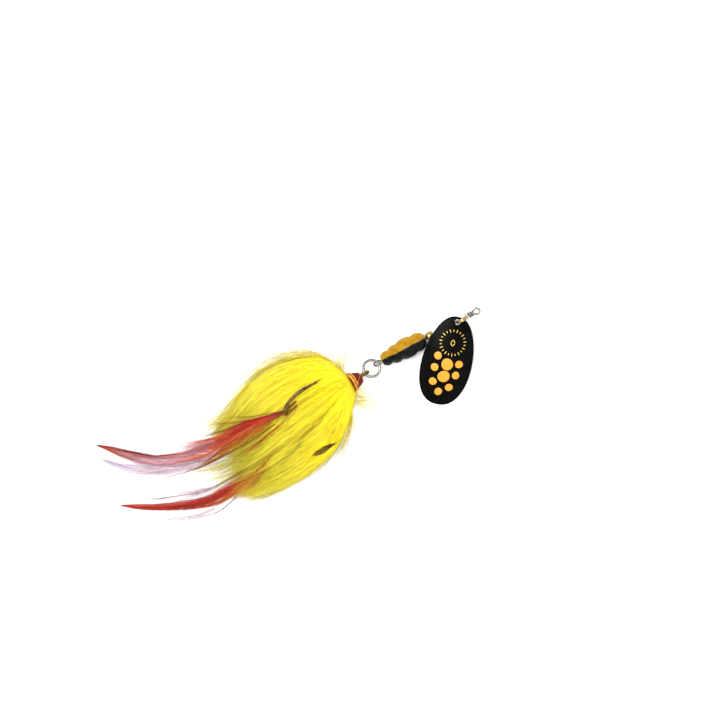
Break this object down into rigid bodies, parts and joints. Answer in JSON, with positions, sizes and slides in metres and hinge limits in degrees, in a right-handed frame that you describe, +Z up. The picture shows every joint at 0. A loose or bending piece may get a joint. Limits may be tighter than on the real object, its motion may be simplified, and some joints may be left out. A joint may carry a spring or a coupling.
{
  "type": "inline spinner",
  "caption": "Inline spinner fishing lure: wire shaft with line eye, dotted dished blade on a clevis, bearing beads, lobed body, and a treble hook dressed with bucktail and hackle feathers.",
  "frame": {"origin": "middle of the footprint, on the table the lure lies on", "axes": "+X along the shaft towards the line eye, +Z up from the table"},
  "size_m": [0.1786, 0.0552, 0.0358],
  "materials": {
    "wire_steel": "bright drawn wire",
    "hook_bronze": "bronzed hook wire",
    "bead_brass": "polished",
    "blade_black": "gloss black with orange and gold marks",
    "body_amber": "gloss, golden yellow on one half and black on the other",
    "thread_red": "lacquered tying thread",
    "hair_yellow": "dyed bucktail hair",
    "feather_red": "dyed hackle",
    "feather_pale": "undyed pale hackle"
  },
  "bodies": {
    "shaft": {"shaft_wire": "wire_steel"},
    "stirrup": {"clevis": "bead_brass"},
    "spinner_blade": {"blade": "blade_black"},
    "front_bead": {"bearing_bead_front": "bead_brass"},
    "middle_bead": {"bearing_bead_middle": "bead_brass"},
    "rear_bead": {"bearing_bead_rear": "bead_brass"},
    "weight": {"lobed_body": "body_amber"},
    "ring": {"split_ring": "wire_steel"},
    "dressed_hook": {"double_hook": "hook_bronze", "third_hook": "hook_bronze", "thread_head": "thread_red", "hair_top": "hair_yellow", "hair_under": "hair_yellow", "hair_side": "hair_yellow", "feather_top": "feather_red", "feather_middle": "feather_pale", "feather_side": "feather_red"}
  },
  "joints": [
    {"name": "clevis_spin", "type": "hinge", "parent": "shaft", "child": "stirrup", "pos_m": [0.07815, 0.0027, 0.0047], "axis": [1, 0, 0], "continuous": true},
    {"name": "blade_swing", "type": "hinge", "parent": "stirrup", "child": "spinner_blade", "pos_m": [0.0801, 0.0024, 0.00899], "axis": [0, 0.9976, 0.0698], "range_deg": [0, 80]},
    {"name": "front_bead_spin", "type": "hinge", "parent": "shaft", "child": "front_bead", "pos_m": [0.07815, 0.0027, 0.0047], "axis": [1, 0, 0], "continuous": true},
    {"name": "middle_bead_spin", "type": "hinge", "parent": "shaft", "child": "middle_bead", "pos_m": [0.07815, 0.0027, 0.0047], "axis": [1, 0, 0], "continuous": true},
    {"name": "rear_bead_spin", "type": "hinge", "parent": "shaft", "child": "rear_bead", "pos_m": [0.07815, 0.0027, 0.0047], "axis": [1, 0, 0], "continuous": true},
    {"name": "body_spin", "type": "hinge", "parent": "shaft", "child": "weight", "pos_m": [0.07815, 0.0027, 0.0047], "axis": [1, 0, 0], "continuous": true},
    {"name": "ring_swing", "type": "hinge", "parent": "shaft", "child": "ring", "pos_m": [0.03885, 0.0027, 0.0047], "axis": [0, 1, 0], "range_deg": [-50, 50]},
    {"name": "hook_swing", "type": "hinge", "parent": "ring", "child": "dressed_hook", "pos_m": [0.03538, 0.0019, 0.00549], "axis": [0.2109, 0.0487, 0.9763], "range_deg": [-40, 40]}
  ]
}
